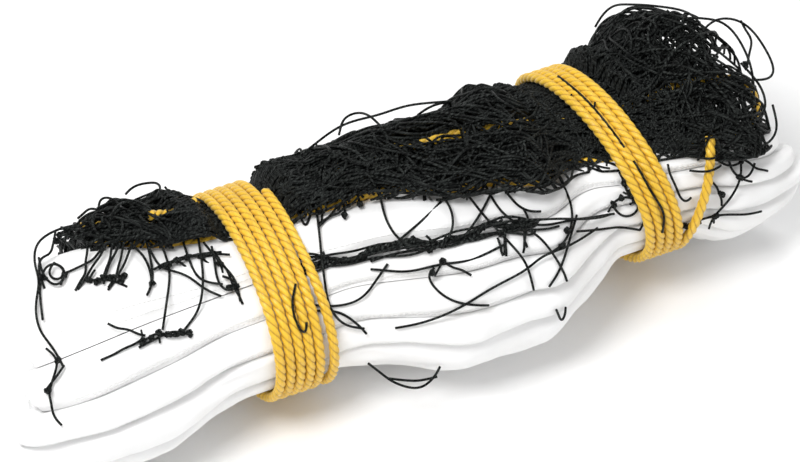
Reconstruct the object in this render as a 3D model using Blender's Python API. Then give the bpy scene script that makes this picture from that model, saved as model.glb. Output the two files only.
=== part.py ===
"""A full-size tennis net put away: gathered, folded to and fro along its length and tied at two places.

Metres, +Z up. X runs along the bundle, from its left end to its right end, and -Y is its front. The
origin is on the surface that the bundle lies on, under the middle of its box.

Round the bundle an angle is counted in degrees from +Y over the top: 0 is the back, 90 the top,
180 the front and 270 the underside.
"""

import math

import bpy
from mathutils import Vector

# The bundle
BUNDLE_LENGTH = 0.690
MIDDLE_DEPTH = 0.238
MIDDLE_HEIGHT = 0.180
LEFT_DEPTH = 0.222
LEFT_HEIGHT = 0.174
RIGHT_DEPTH = 0.222
RIGHT_HEIGHT = 0.182
END_SHRINK = 0.012  # the outline's half sizes are this much less at the very ends
LEFT_BACK = 0.010  # how far the axis lies behind the middle's, and so on below
RIGHT_BACK = 0.031
REST_FLAT = 0.005  # how far the soft underside is pressed flat

# The waists, where the bundle is tied
WAIST_DEPTH = 0.174
WAIST_HEIGHT = 0.134
LEFT_TIE_X = -0.114
LEFT_TIE_BACK = 0.007
RIGHT_TIE_X = 0.193
RIGHT_TIE_BACK = 0.015
RIGHT_TIE_RISE = 0.008
SHOULDER = 0.055  # the length over which the bundle swells again beside a tie

# Rope and cord
ROPE_DIAMETER = 0.008
CORD_DIAMETER = 0.0035
LEFT_TURNS = 6
LEFT_LAST_SHORT = 0.06  # the share of a turn by which the last one stops short
RIGHT_TURNS = 4
TURN_GAP = 0.0004
TURN_STEPS = 22
TIE_CLEARANCE = 0.0015
RIGHT_TIE_LEAN = 0.018  # the right turns lean this far either way along X
LEAN_ANGLE = 33.6
LEAN_FADE = 0.070  # the bundle's own shape leans with them, less and less over this length
TAIL_REACH = 0.040  # how far the right rope's tail swings out from the turns

# Fits
ROPE_SIDE_CLEARANCE = 0.0009
FOLD_GAP = 0.0018
SUNK = 0.0006  # a rope or cord in its groove lies this far below the outline

# The folded headband: how much of each radius the folds fill, and how deep the crease beside each is
FOLD_INNER = 0.54
CREASE_DEPTH = 0.006
FOLD_ROUND = 0.026
NETTING_SWELL = 0.007

# Edges round the bundle, in degrees: the foot rope's back run, the netting's front edge and then the
# lower edge of each fold in turn. The last is where the netting starts again at the back.
EDGES_LEFT_END = (48, 64, 128, 154, 175, 205, 240, 283)
EDGES_LEFT_TIE = (62, 85, 121, 144, 168, 194, 234, 283)
EDGES_LEFT_MIDDLE = (66, 90, 123, 141, 164, 185, 227, 283)
EDGES_MIDDLE = (78, 107, 128, 145, 166, 185, 224, 283)
EDGES_RIGHT_MIDDLE = (84, 118, 136, 151, 170, 188, 225, 283)
EDGES_RIGHT_TIE = (96, 127, 144, 158, 176, 194, 227, 283)
EDGES_RIGHT_END = (118, 144, 160, 174, 190, 207, 233, 283)

# Each fold's name, and how far its ends stop short of the bundle's left and right ends
FOLDS = (
    ("headband_fold_1", 0.030, 0.024),
    ("headband_fold_2", 0.024, 0.012),
    ("headband_fold_3", 0.007, 0.000),
    ("headband_fold_4", 0.000, 0.004),
    ("headband_fold_5", 0.042, 0.010),
    ("headband_fold_6", 0.030, 0.020),
)
NETTING_SHORT_LEFT = 0.102
NETTING_SHORT_RIGHT = 0.056

STATION_STEP = 0.0235
FOLD_ARC_STEPS = 4
NETTING_ARC_STEPS = 11
CORE_ARC_STEPS = 7

# Values that follow
HALF_LENGTH = BUNDLE_LENGTH / 2
MIDDLE_UP = MIDDLE_HEIGHT / 2 - REST_FLAT
# This puts the origin halfway between the middle's front and the right end's back
AXIS_BACK = (MIDDLE_DEPTH / 2 - RIGHT_BACK - RIGHT_DEPTH / 2 - NETTING_SWELL) / 2
ROPE_RADIUS = ROPE_DIAMETER / 2
CORD_RADIUS = CORD_DIAMETER / 2
TURN_PITCH = ROPE_DIAMETER + TURN_GAP
ROPE_SLOT = ROPE_DIAMETER + 2 * ROPE_SIDE_CLEARANCE
CORD_SLOT = CORD_DIAMETER + 2 * ROPE_SIDE_CLEARANCE
SLOTS = (ROPE_SLOT, ROPE_SLOT, CORD_SLOT) + (FOLD_GAP,) * 5
LEFT_WAIST_HALF = (LEFT_TURNS / 2 + 1) * TURN_PITCH
RIGHT_WAIST_HALF = (RIGHT_TURNS / 2 + 1.6) * TURN_PITCH

WHITE = (0.90, 0.90, 0.88)
BLACK = (0.015, 0.015, 0.017)
YELLOW = (0.83, 0.52, 0.06)


def clear_scene():
    for obj in list(bpy.data.objects):
        bpy.data.objects.remove(obj, do_unlink=True)


def material(name, colour, roughness):
    """A plain, non-metallic finish."""
    made = bpy.data.materials.new(name)
    made.use_nodes = True
    shader = made.node_tree.nodes["Principled BSDF"]
    shader.inputs["Base Color"].default_value = (*colour, 1)
    shader.inputs["Roughness"].default_value = roughness
    shader.inputs["Metallic"].default_value = 0
    return made


def blended(keys, x):
    """The values at x between keys of (x, values), eased from each key to the next."""
    if x <= keys[0][0]:
        return keys[0][1]
    for (x0, first), (x1, second) in zip(keys, keys[1:]):
        if x <= x1:
            t = eased((x - x0) / (x1 - x0))
            return tuple(p + (q - p) * t for p, q in zip(first, second))
    return keys[-1][1]


def outline_keys():
    """(x, (back, up, half depth, half height)) along the bundle: an ellipse at each place."""
    left = (LEFT_BACK, LEFT_HEIGHT / 2 - REST_FLAT, LEFT_DEPTH / 2, LEFT_HEIGHT / 2)
    left_end = left[:2] + tuple(half - END_SHRINK for half in left[2:])
    right = (RIGHT_BACK, RIGHT_HEIGHT / 2 - REST_FLAT, RIGHT_DEPTH / 2, RIGHT_HEIGHT / 2)
    right_end = right[:2] + tuple(half - END_SHRINK for half in right[2:])
    left_waist = (LEFT_TIE_BACK, MIDDLE_UP, WAIST_DEPTH / 2, WAIST_HEIGHT / 2)
    right_waist = (RIGHT_TIE_BACK, MIDDLE_UP + RIGHT_TIE_RISE, WAIST_DEPTH / 2, WAIST_HEIGHT / 2)
    middle = (0, MIDDLE_UP, MIDDLE_DEPTH / 2, MIDDLE_HEIGHT / 2)
    left_inner = LEFT_TIE_X + LEFT_WAIST_HALF
    right_inner = RIGHT_TIE_X - RIGHT_WAIST_HALF
    span = right_inner - left_inner
    return (
        (-HALF_LENGTH, left_end),
        ((LEFT_TIE_X - LEFT_WAIST_HALF - HALF_LENGTH) / 2, left),
        (LEFT_TIE_X - LEFT_WAIST_HALF, left_waist),
        (left_inner, left_waist),
        (left_inner + span * 0.45, middle),
        (right_inner - span * 0.30, middle),
        (right_inner, right_waist),
        (RIGHT_TIE_X + RIGHT_WAIST_HALF, right_waist),
        (min(RIGHT_TIE_X + RIGHT_WAIST_HALF + SHOULDER, HALF_LENGTH - 0.02), right),
        (HALF_LENGTH, right_end),
    )


def edge_keys():
    """(x, edges) along the bundle."""
    span = RIGHT_TIE_X - LEFT_TIE_X
    return (
        (-HALF_LENGTH, EDGES_LEFT_END),
        (LEFT_TIE_X, EDGES_LEFT_TIE),
        (LEFT_TIE_X + span * 0.22, EDGES_LEFT_MIDDLE),
        (LEFT_TIE_X + span * 0.55, EDGES_MIDDLE),
        (LEFT_TIE_X + span * 0.80, EDGES_RIGHT_MIDDLE),
        (RIGHT_TIE_X, EDGES_RIGHT_TIE),
        (HALF_LENGTH, EDGES_RIGHT_END),
    )


OUTLINE = outline_keys()
EDGES = edge_keys()


def eased(t):
    t = min(max(t, 0), 1)
    return t * t * (3 - 2 * t)


def unleaned(x, degrees):
    """The place along an upright-tied bundle that a place on the leaning one stands for."""
    beyond = abs(x - RIGHT_TIE_X) - RIGHT_WAIST_HALF
    lean = RIGHT_TIE_LEAN * (1 - eased(beyond / LEAN_FADE))
    return x + lean * math.cos(math.radians(degrees - LEAN_ANGLE))


def looseness(x):
    """0 at a tie, where everything is pressed smooth, to 1 a shoulder's length away from it."""
    beyond = (
        abs(x - LEFT_TIE_X) - LEFT_WAIST_HALF,
        abs(x - RIGHT_TIE_X) - RIGHT_WAIST_HALF,
    )
    return eased(min(beyond) / SHOULDER)


def at(x, degrees, share=1.0, aside=0.0, lift=0.0):
    """A point on the outline at x, drawn in to a share of its size: in one direction from the axis,
    or beside that direction by aside, then lifted along it, and never below the floor."""
    back, up, half_depth, half_height = blended(OUTLINE, unleaned(x, degrees))
    turn = math.radians(degrees)
    along = Vector((half_depth * math.cos(turn), half_height * math.sin(turn))).normalized()
    across = Vector((-along.y, along.x)) * aside
    # Where the line along that direction, moved aside, meets the ellipse
    wide, tall = half_depth**2, half_height**2
    a = along.x**2 / wide + along.y**2 / tall
    b = along.x * across.x / wide + along.y * across.y / tall
    c = across.x**2 / wide + across.y**2 / tall - share**2
    reach = (math.sqrt(b * b - a * c) - b) / a
    place = along * (reach + lift) + across
    return Vector((x, AXIS_BACK + back + place.x, max(up + place.y, 0)))


def crossed(x, index):
    return blended(EDGES, x)[index]


def fold_ring(x, index):
    """One fold's closed outline at x: its crowned outer face, then its inner face back again."""
    top, bottom = crossed(x, index), crossed(x, index + 1)
    sides = (SLOTS[index] / 2, -SLOTS[index + 1] / 2)
    ring = []
    for step in range(FOLD_ARC_STEPS + 1):
        t = step / FOLD_ARC_STEPS
        aside = sides[0] * (1 - t) + sides[1] * t
        angle = top + (bottom - top) * t
        dip = CREASE_DEPTH * looseness(unleaned(x, angle)) * (2 * t - 1) ** 2
        ring.append(at(x, angle, 1, aside, -dip))
    for t in (1, 0.5, 0):
        aside = sides[0] * (1 - t) + sides[1] * t
        ring.append(at(x, top + (bottom - top) * t, FOLD_INNER, aside))
    return ring


def swell_at(x, degrees):
    """How far the netting stands out beyond the outline."""
    return NETTING_SWELL * looseness(unleaned(x, degrees))


def netting_ring(x):
    """The netting's closed outline at x: over the back and top, with the groove for the foot rope's
    back run, then down beside the first fold and round the core inside the folds."""
    groove, front, back = crossed(x, 0), crossed(x, 1), crossed(x, 7) - 360
    half = ROPE_SLOT / 2
    ring = []
    for step in range(NETTING_ARC_STEPS):
        t = step / NETTING_ARC_STEPS
        angle = back + (groove - 6 - back) * t
        aside = half if step == 0 else 0
        ring.append(at(x, angle, 1, aside, swell_at(x, angle) * math.sin(math.pi * t / 2)))
    swell = swell_at(x, groove)
    ring.append(at(x, groove, 1, -half - 0.001, swell))
    ring.append(at(x, groove, 1, -half, -ROPE_SLOT))
    ring.append(at(x, groove, 1, half, -ROPE_SLOT))
    ring.append(at(x, groove, 1, half + 0.001, swell))
    ring.append(at(x, (groove + front) / 2, 1, 0, swell))
    ring.append(at(x, front, 1, -half, 0))
    core_gap = -2 * FOLD_GAP
    for step in range(CORE_ARC_STEPS + 1):
        t = step / CORE_ARC_STEPS
        aside = -half * (1 - t) + FOLD_GAP * t
        ring.append(at(x, front + (back + 360 - front) * t, FOLD_INNER, aside, core_gap))
    return ring


def shrunk(ring, share):
    centre = sum(ring, Vector()) / len(ring)
    return [Vector((p.x, *(centre + (p - centre) * share).yz)) for p in ring]


def between(start, stop):
    """The bundle's evenly spaced stations that lie well inside start and stop."""
    steps = math.ceil(BUNDLE_LENGTH / STATION_STEP)
    places = [-HALF_LENGTH + BUNDLE_LENGTH * i / steps for i in range(steps + 1)]
    return [x for x in places if start + STATION_STEP / 5 < x < stop - STATION_STEP / 5]


def stations(start, stop, round_over):
    """Places along X from start to stop, closer together where the ends round over."""
    ends = [round_over * share for share in (0, 0.12, 0.42, 1)] if round_over else [0]
    inner = between(start + round_over, stop - round_over)
    return [start + e for e in ends] + inner + [stop - e for e in reversed(ends)]


def end_share(x, start, stop, round_over):
    """How much of its full section a rounded end keeps at x."""
    left = min(x - start, stop - x)
    if left >= round_over or not round_over:
        return 1.0
    t = 1 - left / round_over
    return 0.45 + 0.55 * math.sqrt(max(1 - t * t, 0))


def lofted(name, start, stop, round_over, ring_at, finish):
    """A closed solid through the rings at each station, with a face across each end."""
    rings = [
        shrunk(ring_at(x), end_share(x, start, stop, round_over))
        for x in stations(start, stop, round_over)
    ]
    count = len(rings[0])
    points = [p for ring in rings for p in ring]
    faces = [tuple(range(count - 1, -1, -1))]
    for i in range(len(rings) - 1):
        for j in range(count):
            k = (j + 1) % count
            low = i * count
            faces.append((low + j, low + k, low + count + k, low + count + j))
    last = (len(rings) - 1) * count
    faces.append(tuple(range(last, last + count)))
    mesh = bpy.data.meshes.new(name)
    mesh.from_pydata(points, [], faces)
    mesh.materials.append(finish)
    mesh.update()
    obj = bpy.data.objects.new(name, mesh)
    bpy.context.scene.collection.objects.link(obj)
    return obj


def rope(name, points, radius, finish):
    """A round rope or cord along the points, with its ends closed."""
    curve = bpy.data.curves.new(name, "CURVE")
    curve.dimensions = "3D"
    curve.bevel_depth = radius
    curve.bevel_resolution = 2
    curve.use_fill_caps = True
    spline = curve.splines.new("POLY")
    spline.points.add(len(points) - 1)
    for point, place in zip(spline.points, points):
        point.co = (*place, 1)
    curve.materials.append(finish)
    obj = bpy.data.objects.new(name, curve)
    bpy.context.scene.collection.objects.link(obj)
    return obj


def on_top(x, degrees):
    """A rope's centre where the rope lies on the outside of the bundle."""
    lift = ROPE_RADIUS + TIE_CLEARANCE + 1.6 * swell_at(x, degrees)
    return at(x, degrees, 1, 0, lift)


def left_tie_points():
    """In from the netting on the left, then round the waist, over the back first."""
    points = []
    start_x = LEFT_TIE_X - TURN_PITCH * (LEFT_TURNS - 1) / 2
    start = 46
    lead = 5
    for step in range(lead):
        t = step / lead
        points.append(on_top(start_x - 0.050 * (1 - t) ** 1.6, start + 26 * (1 - t)))
    for step in range(round((LEFT_TURNS - LEFT_LAST_SHORT) * TURN_STEPS)):
        turn = step / TURN_STEPS
        angle = start - 360 * turn
        x = start_x + TURN_PITCH * (turn - 0.25)
        if turn > LEFT_TURNS - 1:
            x += 0.004 * max(math.cos(math.radians(angle - 196)), 0)
        points.append(on_top(x, angle))
    return points


def right_tie_points():
    """The tail down from the netting on the right, then round the leaning waist to the left."""
    points = []
    tail_top, tail_foot = 133, 200
    last = 360 * RIGHT_TURNS + 300
    steps = round((last - tail_top) / 360 * TURN_STEPS)
    for step in range(steps + 1):
        angle = tail_top + (last - tail_top) * step / steps
        lean = -RIGHT_TIE_LEAN * math.cos(math.radians(angle - LEAN_ANGLE))
        x = RIGHT_TIE_X + TURN_PITCH * (RIGHT_TURNS / 2 + 1 - angle / 360) + lean
        tail = max(tail_foot - angle, 0) / (tail_foot - tail_top)
        points.append(on_top(x + TAIL_REACH * tail**1.3, angle))
    return points


def foot_rope_points():
    """Along the netting's front edge to the right, round, and back along the groove further up."""
    start = -HALF_LENGTH + NETTING_SHORT_LEFT + 0.010
    stop = HALF_LENGTH - NETTING_SHORT_RIGHT
    depth = -(ROPE_RADIUS + SUNK)
    places = [start] + between(start, stop) + [stop]
    front = [at(x, crossed(x, 1), 1, 0, depth) for x in places]
    back = [at(x, crossed(x, 0), 1, 0, depth) for x in places]
    middle = (front[-1] + back[-1]) / 2
    reach = (front[-1] - middle).length
    turn = []
    for step in range(1, 6):
        swing = math.pi * step / 6
        turn.append(middle + (front[-1] - middle) * math.cos(swing) + Vector((reach * math.sin(swing), 0, 0)))
    return front + turn + back[::-1]


def edge_cord_points():
    """Along the crease between the first two folds."""
    start = -HALF_LENGTH + max(FOLDS[0][1], FOLDS[1][1]) + FOLD_ROUND / 2
    stop = HALF_LENGTH - max(FOLDS[0][2], FOLDS[1][2]) - FOLD_ROUND / 2
    points = []
    for x in [start] + between(start, stop) + [stop]:
        angle = crossed(x, 2)
        crease = CREASE_DEPTH * looseness(unleaned(x, angle))
        points.append(at(x, angle, 1, 0, -CORD_RADIUS - SUNK - crease / 2))
    return points


def main():
    clear_scene()
    tape = material("white_tape", WHITE, 0.55)
    twine = material("black_twine", BLACK, 0.5)
    yellow_rope = material("yellow_rope", YELLOW, 0.38)
    for index, (name, short_left, short_right) in enumerate(FOLDS, start=1):
        lofted(
            name,
            -HALF_LENGTH + short_left,
            HALF_LENGTH - short_right,
            FOLD_ROUND,
            lambda x, index=index: fold_ring(x, index),
            tape,
        )
    lofted(
        "netting",
        -HALF_LENGTH + NETTING_SHORT_LEFT,
        HALF_LENGTH - NETTING_SHORT_RIGHT,
        0,
        netting_ring,
        twine,
    )
    rope("tie_rope_left", left_tie_points(), ROPE_RADIUS, yellow_rope)
    rope("tie_rope_right", right_tie_points(), ROPE_RADIUS, yellow_rope)
    rope("foot_rope", foot_rope_points(), ROPE_RADIUS, yellow_rope)
    rope("edge_cord", edge_cord_points(), CORD_RADIUS, twine)


main()
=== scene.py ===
import math

import bpy
import numpy as np
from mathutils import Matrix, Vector


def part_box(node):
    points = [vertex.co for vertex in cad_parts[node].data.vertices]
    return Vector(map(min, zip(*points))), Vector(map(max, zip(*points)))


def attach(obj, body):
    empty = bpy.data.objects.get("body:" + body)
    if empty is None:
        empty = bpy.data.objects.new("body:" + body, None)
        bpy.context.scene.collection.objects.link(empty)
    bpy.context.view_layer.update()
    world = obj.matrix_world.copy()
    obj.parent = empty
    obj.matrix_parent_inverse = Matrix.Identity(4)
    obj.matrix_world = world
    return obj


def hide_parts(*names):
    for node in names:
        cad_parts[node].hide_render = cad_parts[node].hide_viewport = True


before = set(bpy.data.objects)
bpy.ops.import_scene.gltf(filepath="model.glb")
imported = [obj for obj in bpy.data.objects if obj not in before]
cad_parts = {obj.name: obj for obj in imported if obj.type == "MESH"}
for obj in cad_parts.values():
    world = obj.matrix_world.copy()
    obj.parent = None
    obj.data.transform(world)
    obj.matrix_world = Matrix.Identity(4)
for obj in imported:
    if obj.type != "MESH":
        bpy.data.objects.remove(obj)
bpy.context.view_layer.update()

# A full-size tennis net, gathered, folded to and fro and tied at two places. Metres, +Z up. X runs along
# the bundle, and round it an angle is counted in degrees from +Y over the top, so 180 is its front.

MM = 0.001

# The bundle's outline, as the frame's solids have it
HALF_LENGTH = 0.345
LEFT_TIE_X = -0.114
RIGHT_TIE_X = 0.193
LEFT_WAIST_HALF = 0.0336
RIGHT_WAIST_HALF = 0.0302
SHOULDER = 0.055  # from a waist to where the bundle is loose again
TURN_PITCH = 0.0084  # from one turn of a tie to the next
AXIS_BACK = -0.015
TIE_LEAN = 0.018  # how far the right tie leans to each side
LEAN_ANGLE = 33.6  # where round the bundle it leans furthest
LEAN_FADE = 0.070  # the length beside the tie over which the lean fades out
FOLD_INNER = 0.54  # the folds' inner side, as a share of the outline
CREASE_DEPTH = 0.006
NETTING_SWELL = 0.007
INNER_SPAN = (LEFT_TIE_X + LEFT_WAIST_HALF, RIGHT_TIE_X - RIGHT_WAIST_HALF)
SPAN = INNER_SPAN[1] - INNER_SPAN[0]
TIES_APART = RIGHT_TIE_X - LEFT_TIE_X
# Each row: place along X, how far back and up the axis lies, half the depth and half the height
OUTLINE = np.array((
    (-HALF_LENGTH, 0.010, 0.082, 0.099, 0.075),
    ((LEFT_TIE_X - LEFT_WAIST_HALF - HALF_LENGTH) / 2, 0.010, 0.082, 0.111, 0.087),
    (LEFT_TIE_X - LEFT_WAIST_HALF, 0.007, 0.085, 0.087, 0.067),
    (INNER_SPAN[0], 0.007, 0.085, 0.087, 0.067),
    (INNER_SPAN[0] + SPAN * 0.45, 0.000, 0.085, 0.119, 0.090),
    (INNER_SPAN[1] - SPAN * 0.30, 0.000, 0.085, 0.119, 0.090),
    (INNER_SPAN[1], 0.015, 0.093, 0.087, 0.067),
    (RIGHT_TIE_X + RIGHT_WAIST_HALF, 0.015, 0.093, 0.087, 0.067),
    (RIGHT_TIE_X + RIGHT_WAIST_HALF + SHOULDER, 0.031, 0.086, 0.111, 0.091),
    (HALF_LENGTH, 0.031, 0.086, 0.099, 0.079),
))
# Each row: place along X, then the angles of the foot rope's back run, the netting's front edge and
# the lower edge of each fold in turn
EDGES = np.array((
    (-HALF_LENGTH, 48, 64, 128, 154, 175, 205, 240, 283),
    (LEFT_TIE_X, 62, 85, 121, 144, 168, 194, 234, 283),
    (LEFT_TIE_X + TIES_APART * 0.22, 66, 90, 123, 141, 164, 185, 227, 283),
    (LEFT_TIE_X + TIES_APART * 0.55, 78, 107, 128, 145, 166, 185, 224, 283),
    (LEFT_TIE_X + TIES_APART * 0.80, 84, 118, 136, 151, 170, 188, 225, 283),
    (RIGHT_TIE_X, 96, 127, 144, 158, 176, 194, 227, 283),
    (HALF_LENGTH, 118, 144, 160, 174, 190, 207, 233, 283),
))
FOLD_NODES = tuple(f"headband_fold_{n}" for n in range(1, 7))
HEAP_BACK = -77  # the angle of the heap's lower edge at the back, where the last fold ends
NETTING = (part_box("netting")[0][0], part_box("netting")[1][0])

# Twine, cord and rope
TWINE_RADIUS = 0.00102
ROPE_DIAMETER = 0.008
ROPE_RADIUS = ROPE_DIAMETER / 2
ROPE_LAY = 0.024  # the length in which a strand goes once round
# Headband
TAPE_THICK = 0.0008
THREAD_PITCH = 0.0011
FOLD_GAP = 0.00035  # between a stack's edge and its outermost cloth

MEAN_RADIUS = 0.105  # of the heap, where it is worked flat
LAY_LENGTH = 0.01  # the length of a strand that one unit of its map covers
CLOTH_GAP = 0.0004  # the least height above the floor
TWINE_GAP = 0.0003


# ---------------------------------------------------------------- the bundle's shape

def eased(t):
    t = np.clip(t, 0, 1)
    return t * t * (3 - 2 * t)


def blended(rows, x):
    """The rows' values at each x, eased from each row to the next."""
    places = rows[:, 0]
    i = np.clip(np.searchsorted(places, x) - 1, 0, len(places) - 2)
    t = eased((x - places[i]) / (places[i + 1] - places[i]))[..., None]
    return rows[i, 1:] * (1 - t) + rows[i + 1, 1:] * t


def unleaned(x, degrees):
    """The place along X that a place on the leaning right waist has on an upright one."""
    beyond = np.abs(x - RIGHT_TIE_X) - RIGHT_WAIST_HALF
    lean = TIE_LEAN * (1 - eased(beyond / LEAN_FADE))
    return x + lean * np.cos(np.radians(degrees - LEAN_ANGLE))


def looseness(x, degrees):
    """0 at a tie, where everything is pressed smooth, to 1 a shoulder's length away from it."""
    x = unleaned(x, degrees)
    left = np.abs(x - LEFT_TIE_X) - LEFT_WAIST_HALF
    right = np.abs(x - RIGHT_TIE_X) - RIGHT_WAIST_HALF
    return eased(np.minimum(left, right) / SHOULDER)


def at(x, degrees, share=1.0, lift=0.0):
    """Points round the bundle: on its outline drawn in to a share of its size, then lifted."""
    x, degrees, share, lift = np.broadcast_arrays(x, degrees, share, lift)
    shape = blended(OUTLINE, unleaned(x, degrees))
    turn = np.radians(degrees)
    out = np.stack([shape[..., 2] * np.cos(turn), shape[..., 3] * np.sin(turn)], -1)
    length = np.linalg.norm(out, axis=-1)
    out = out * (share + lift / length)[..., None]
    y = AXIS_BACK + shape[..., 0] + out[..., 0]
    z = shape[..., 1] + out[..., 1]
    return np.stack([x, y, np.maximum(z, CLOTH_GAP)], -1)


def edge_at(x, index):
    """The angle of one of the edges at x: 0 is the foot rope's back run, 1 the netting's front edge."""
    return blended(EDGES, np.asarray(x, float))[..., index]


def radius_at(x, degrees):
    shape = blended(OUTLINE, unleaned(x, degrees))
    turn = np.radians(degrees)
    return np.hypot(shape[..., 2] * np.cos(turn), shape[..., 3] * np.sin(turn))


def off_floor(points, gap):
    points[..., 2] = np.maximum(points[..., 2], gap)
    return points


def ripple(seed, *waves):
    """A smooth uneven value, about -1 to 1: sines of the given phases with set offsets."""
    offsets = np.random.default_rng(seed).uniform(0, 2 * math.pi, len(waves))
    return sum(np.sin(w + o) for w, o in zip(waves, offsets)) / len(waves) ** 0.5


# ---------------------------------------------------------------- meshes

def piece(name, points, faces, finish, uvs, tube=True):
    """A mesh object that rides on the bundle. A tube's uvs run 0 to 1 round it, and close up there."""
    mesh = bpy.data.meshes.new(name)
    mesh.from_pydata(points, [], faces)
    mesh.materials.append(finish)
    layer = mesh.uv_layers.new(name="lay")
    corners = np.empty(len(mesh.loops), np.int32)
    mesh.loops.foreach_get("vertex_index", corners)
    at_corners = np.asarray(uvs, np.float32)[corners]
    if tube:
        starts = np.empty(len(mesh.polygons), np.int32)
        sizes = np.empty(len(mesh.polygons), np.int32)
        mesh.polygons.foreach_get("loop_start", starts)
        mesh.polygons.foreach_get("loop_total", sizes)
        highest = np.repeat(np.maximum.reduceat(at_corners[:, 0], starts), sizes)
        at_corners[:, 0] += at_corners[:, 0] < highest - 0.5
    layer.data.foreach_set("uv", at_corners.ravel())
    mesh.shade_smooth()
    obj = bpy.data.objects.new(name, mesh)
    bpy.context.scene.collection.objects.link(obj)
    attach(obj, "root")
    return obj


def tangents(paths):
    steps = np.gradient(paths, axis=-2)
    return steps / np.maximum(np.linalg.norm(steps, axis=-1, keepdims=True), 1e-9)


def carried_frames(paths):
    """Two directions across each path, carried along it without twisting."""
    along = tangents(paths)
    first = np.cross(along[..., 0, :], (0.31, 0.17, 0.93))
    first /= np.linalg.norm(first, axis=-1, keepdims=True)
    sides = [first]
    for i in range(1, paths.shape[-2]):
        t = along[..., i, :]
        side = sides[-1] - t * (sides[-1] * t).sum(-1, keepdims=True)
        sides.append(side / np.maximum(np.linalg.norm(side, axis=-1, keepdims=True), 1e-9))
    side = np.stack(sides, -2)
    return side, np.cross(along, side)


def tubes(paths, radius, sides=6, profile=None):
    """Closed tubes along same-length paths (tubes, points, 3): (points, faces, uvs). A profile takes the
    angle round and the length along, and gives the share of the radius there."""
    paths = np.asarray(paths, float)
    many, count = paths.shape[:2]
    side, up = carried_frames(paths)
    steps = np.linalg.norm(np.diff(paths, axis=1), axis=-1)
    along = np.concatenate([np.zeros((many, 1)), np.cumsum(steps, 1)], 1)
    turn = np.arange(sides) * 2 * math.pi / sides
    reach = np.broadcast_to(np.asarray(radius, float), (many, count))[..., None]
    if profile is not None:
        reach = reach * profile(turn[None, None], along[..., None])
    reach = np.broadcast_to(reach, (many, count, sides))
    ring = reach[..., None] * (
        side[..., None, :] * np.cos(turn)[:, None] + up[..., None, :] * np.sin(turn)[:, None]
    )
    points = (paths[..., None, :] + ring).reshape(-1, 3)
    start = (np.arange(many)[:, None, None] * count + np.arange(count - 1)[:, None]) * sides
    j = np.arange(sides)
    k = (j + 1) % sides
    quads = np.stack(
        np.broadcast_arrays(start + j, start + k, start + sides + k, start + sides + j), -1
    ).reshape(-1, 4)
    base = np.arange(many)[:, None] * count * sides
    caps = np.concatenate([base + j[::-1], base + (count - 1) * sides + j])
    uvs = np.stack(
        np.broadcast_arrays(turn / (2 * math.pi), along[..., None] / LAY_LENGTH), -1
    ).reshape(-1, 2)
    return points, quads.tolist() + caps.tolist(), uvs


def joined(parts):
    """Several (points, faces, uvs) as one."""
    points, faces, uvs, start = [], [], [], 0
    for p, f, u in parts:
        points.append(p)
        uvs.append(u)
        faces.extend([[i + start for i in face] for face in f])
        start += len(p)
    return np.concatenate(points), faces, np.concatenate(uvs)


def smooth_path(points, count):
    """A smooth curve through the points (Catmull-Rom), as count points."""
    points = np.asarray(points, float)
    ends = 2 * points[0] - points[1], 2 * points[-1] - points[-2]
    p = np.concatenate([ends[:1], points, ends[1:]])
    spans = len(points) - 1
    s = np.linspace(0, spans, count)
    i = np.minimum(s.astype(int), spans - 1)
    t = (s - i)[:, None]
    a, b, c, d = p[i], p[i + 1], p[i + 2], p[i + 3]
    bend, twist = 2 * a - 5 * b + 4 * c - d, 3 * b - a - 3 * c + d
    return 0.5 * (2 * b + (c - a) * t + bend * t**2 + twist * t**3)


def evenly(path, step):
    """The path with points a step apart."""
    lengths = np.linalg.norm(np.diff(path, axis=0), axis=1)
    along = np.concatenate([[0], np.cumsum(lengths)])
    s = np.linspace(0, along[-1], max(int(along[-1] / step), 2) + 1)
    return np.stack([np.interp(s, along, path[:, k]) for k in range(3)], 1)


# ---------------------------------------------------------------- finishes

def group(name, inputs, outputs):
    """An empty node group with its sockets, and its input and output nodes."""
    made = bpy.data.node_groups.new(name, "ShaderNodeTree")
    for socket, kind, value in inputs:
        s = made.interface.new_socket(socket, in_out="INPUT", socket_type=kind)
        if value is not None:
            s.default_value = value
    for socket, kind in outputs:
        made.interface.new_socket(socket, in_out="OUTPUT", socket_type=kind)
    return made, made.nodes.new("NodeGroupInput"), made.nodes.new("NodeGroupOutput")


def maths(tree, operation, *values):
    node = tree.nodes.new("ShaderNodeMath")
    node.operation = operation
    for socket, value in zip(node.inputs, values):
        if isinstance(value, bpy.types.NodeSocket):
            tree.links.new(value, socket)
        else:
            socket.default_value = value
    return node.outputs[0]


def noise_at(tree, vector, scale, detail):
    node = tree.nodes.new("ShaderNodeTexNoise")
    tree.links.new(vector, node.inputs["Vector"])
    if isinstance(scale, bpy.types.NodeSocket):
        tree.links.new(scale, node.inputs["Scale"])
    else:
        node.inputs["Scale"].default_value = scale
    node.inputs["Detail"].default_value = detail
    return node.outputs["Fac"]


def lay_axes(tree):
    """The two directions of a piece's own map: round or across it, and along it."""
    lay = tree.nodes.new("ShaderNodeUVMap")
    lay.uv_map = "lay"
    split = tree.nodes.new("ShaderNodeSeparateXYZ")
    tree.links.new(lay.outputs[0], split.inputs[0])
    return split.outputs["X"], split.outputs["Y"]


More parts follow.
